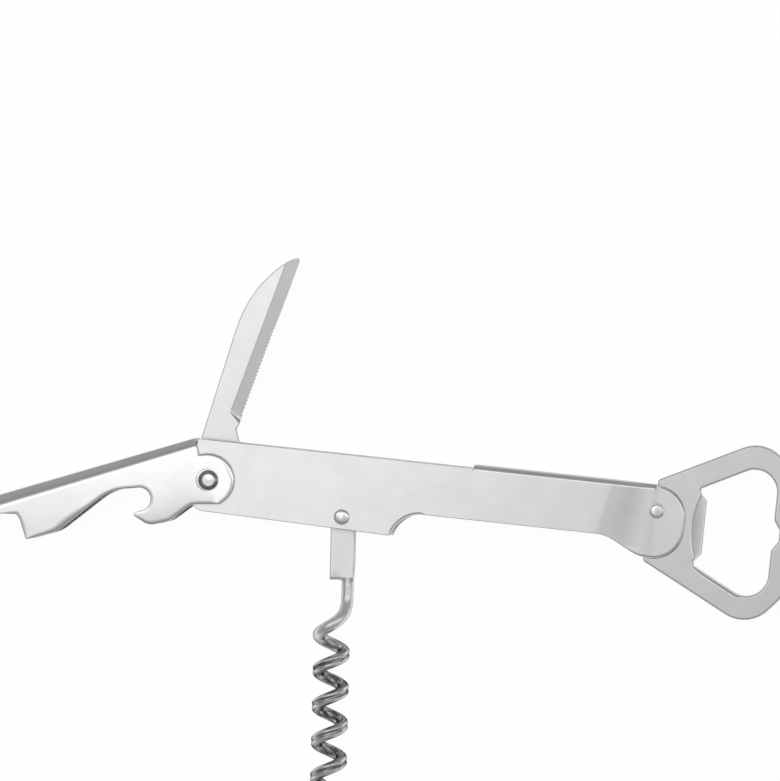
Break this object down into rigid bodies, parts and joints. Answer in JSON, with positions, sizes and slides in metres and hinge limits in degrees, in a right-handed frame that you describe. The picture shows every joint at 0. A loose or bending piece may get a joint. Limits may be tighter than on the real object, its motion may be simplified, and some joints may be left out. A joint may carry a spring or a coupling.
{
  "type": "folding wine opener",
  "caption": "Folding steel wine opener: channel handle with foil knife, corkscrew worm, boot lever for the bottle's rim and a cap opener loop.",
  "frame": {"origin": "on the main rivet's axis, at the flat end of its far head, the lowest point that the opener lies on", "axes": "+X along the handle from the main rivet towards the cap opener, +Y towards the handle's folded back, +Z across the walls, from the far wall to the near one"},
  "size_m": [0.1978, 0.126, 0.0164],
  "materials": {
    "satin_steel": "satin stainless sheet, finely sanded, edges left plain",
    "polished_steel": "polished stainless sheet with soft bends",
    "blade_steel": "satin stainless blade with a coarser ground bevel",
    "worm_steel": "bright steel wire, slightly dulled by its hardening",
    "rivet_steel": "polished rivet heads",
    "inner_steel": "plain turned and stamped steel, out of sight"
  },
  "bodies": {
    "handle": {"handle_channel": "satin_steel", "cap_opener_plate": "satin_steel", "cap_opener_rivet": "rivet_steel", "main_rivet": "rivet_steel", "worm_pin": "rivet_steel", "lever_washer_front": "inner_steel", "lever_washer_back": "inner_steel", "knife_spacer_front": "inner_steel", "knife_spacer_back": "inner_steel", "worm_spacer_front": "inner_steel", "worm_spacer_back": "inner_steel"},
    "lever": {"boot_lever": "polished_steel"},
    "knife": {"foil_knife": "blade_steel"},
    "worm": {"corkscrew_worm": "worm_steel"}
  },
  "joints": [
    {"name": "lever_fold", "type": "hinge", "parent": "handle", "child": "lever", "pos_m": [0, 0, 0.0082], "axis": [0, 0, 1], "range_deg": [0, 110]},
    {"name": "knife_fold", "type": "hinge", "parent": "handle", "child": "knife", "pos_m": [0, 0, 0.0082], "axis": [0, 0, -1], "range_deg": [-3, 70]},
    {"name": "worm_fold", "type": "hinge", "parent": "handle", "child": "worm", "pos_m": [0.0329, -0.0054, 0.0082], "axis": [0, 0, 1], "range_deg": [0, 94]}
  ]
}
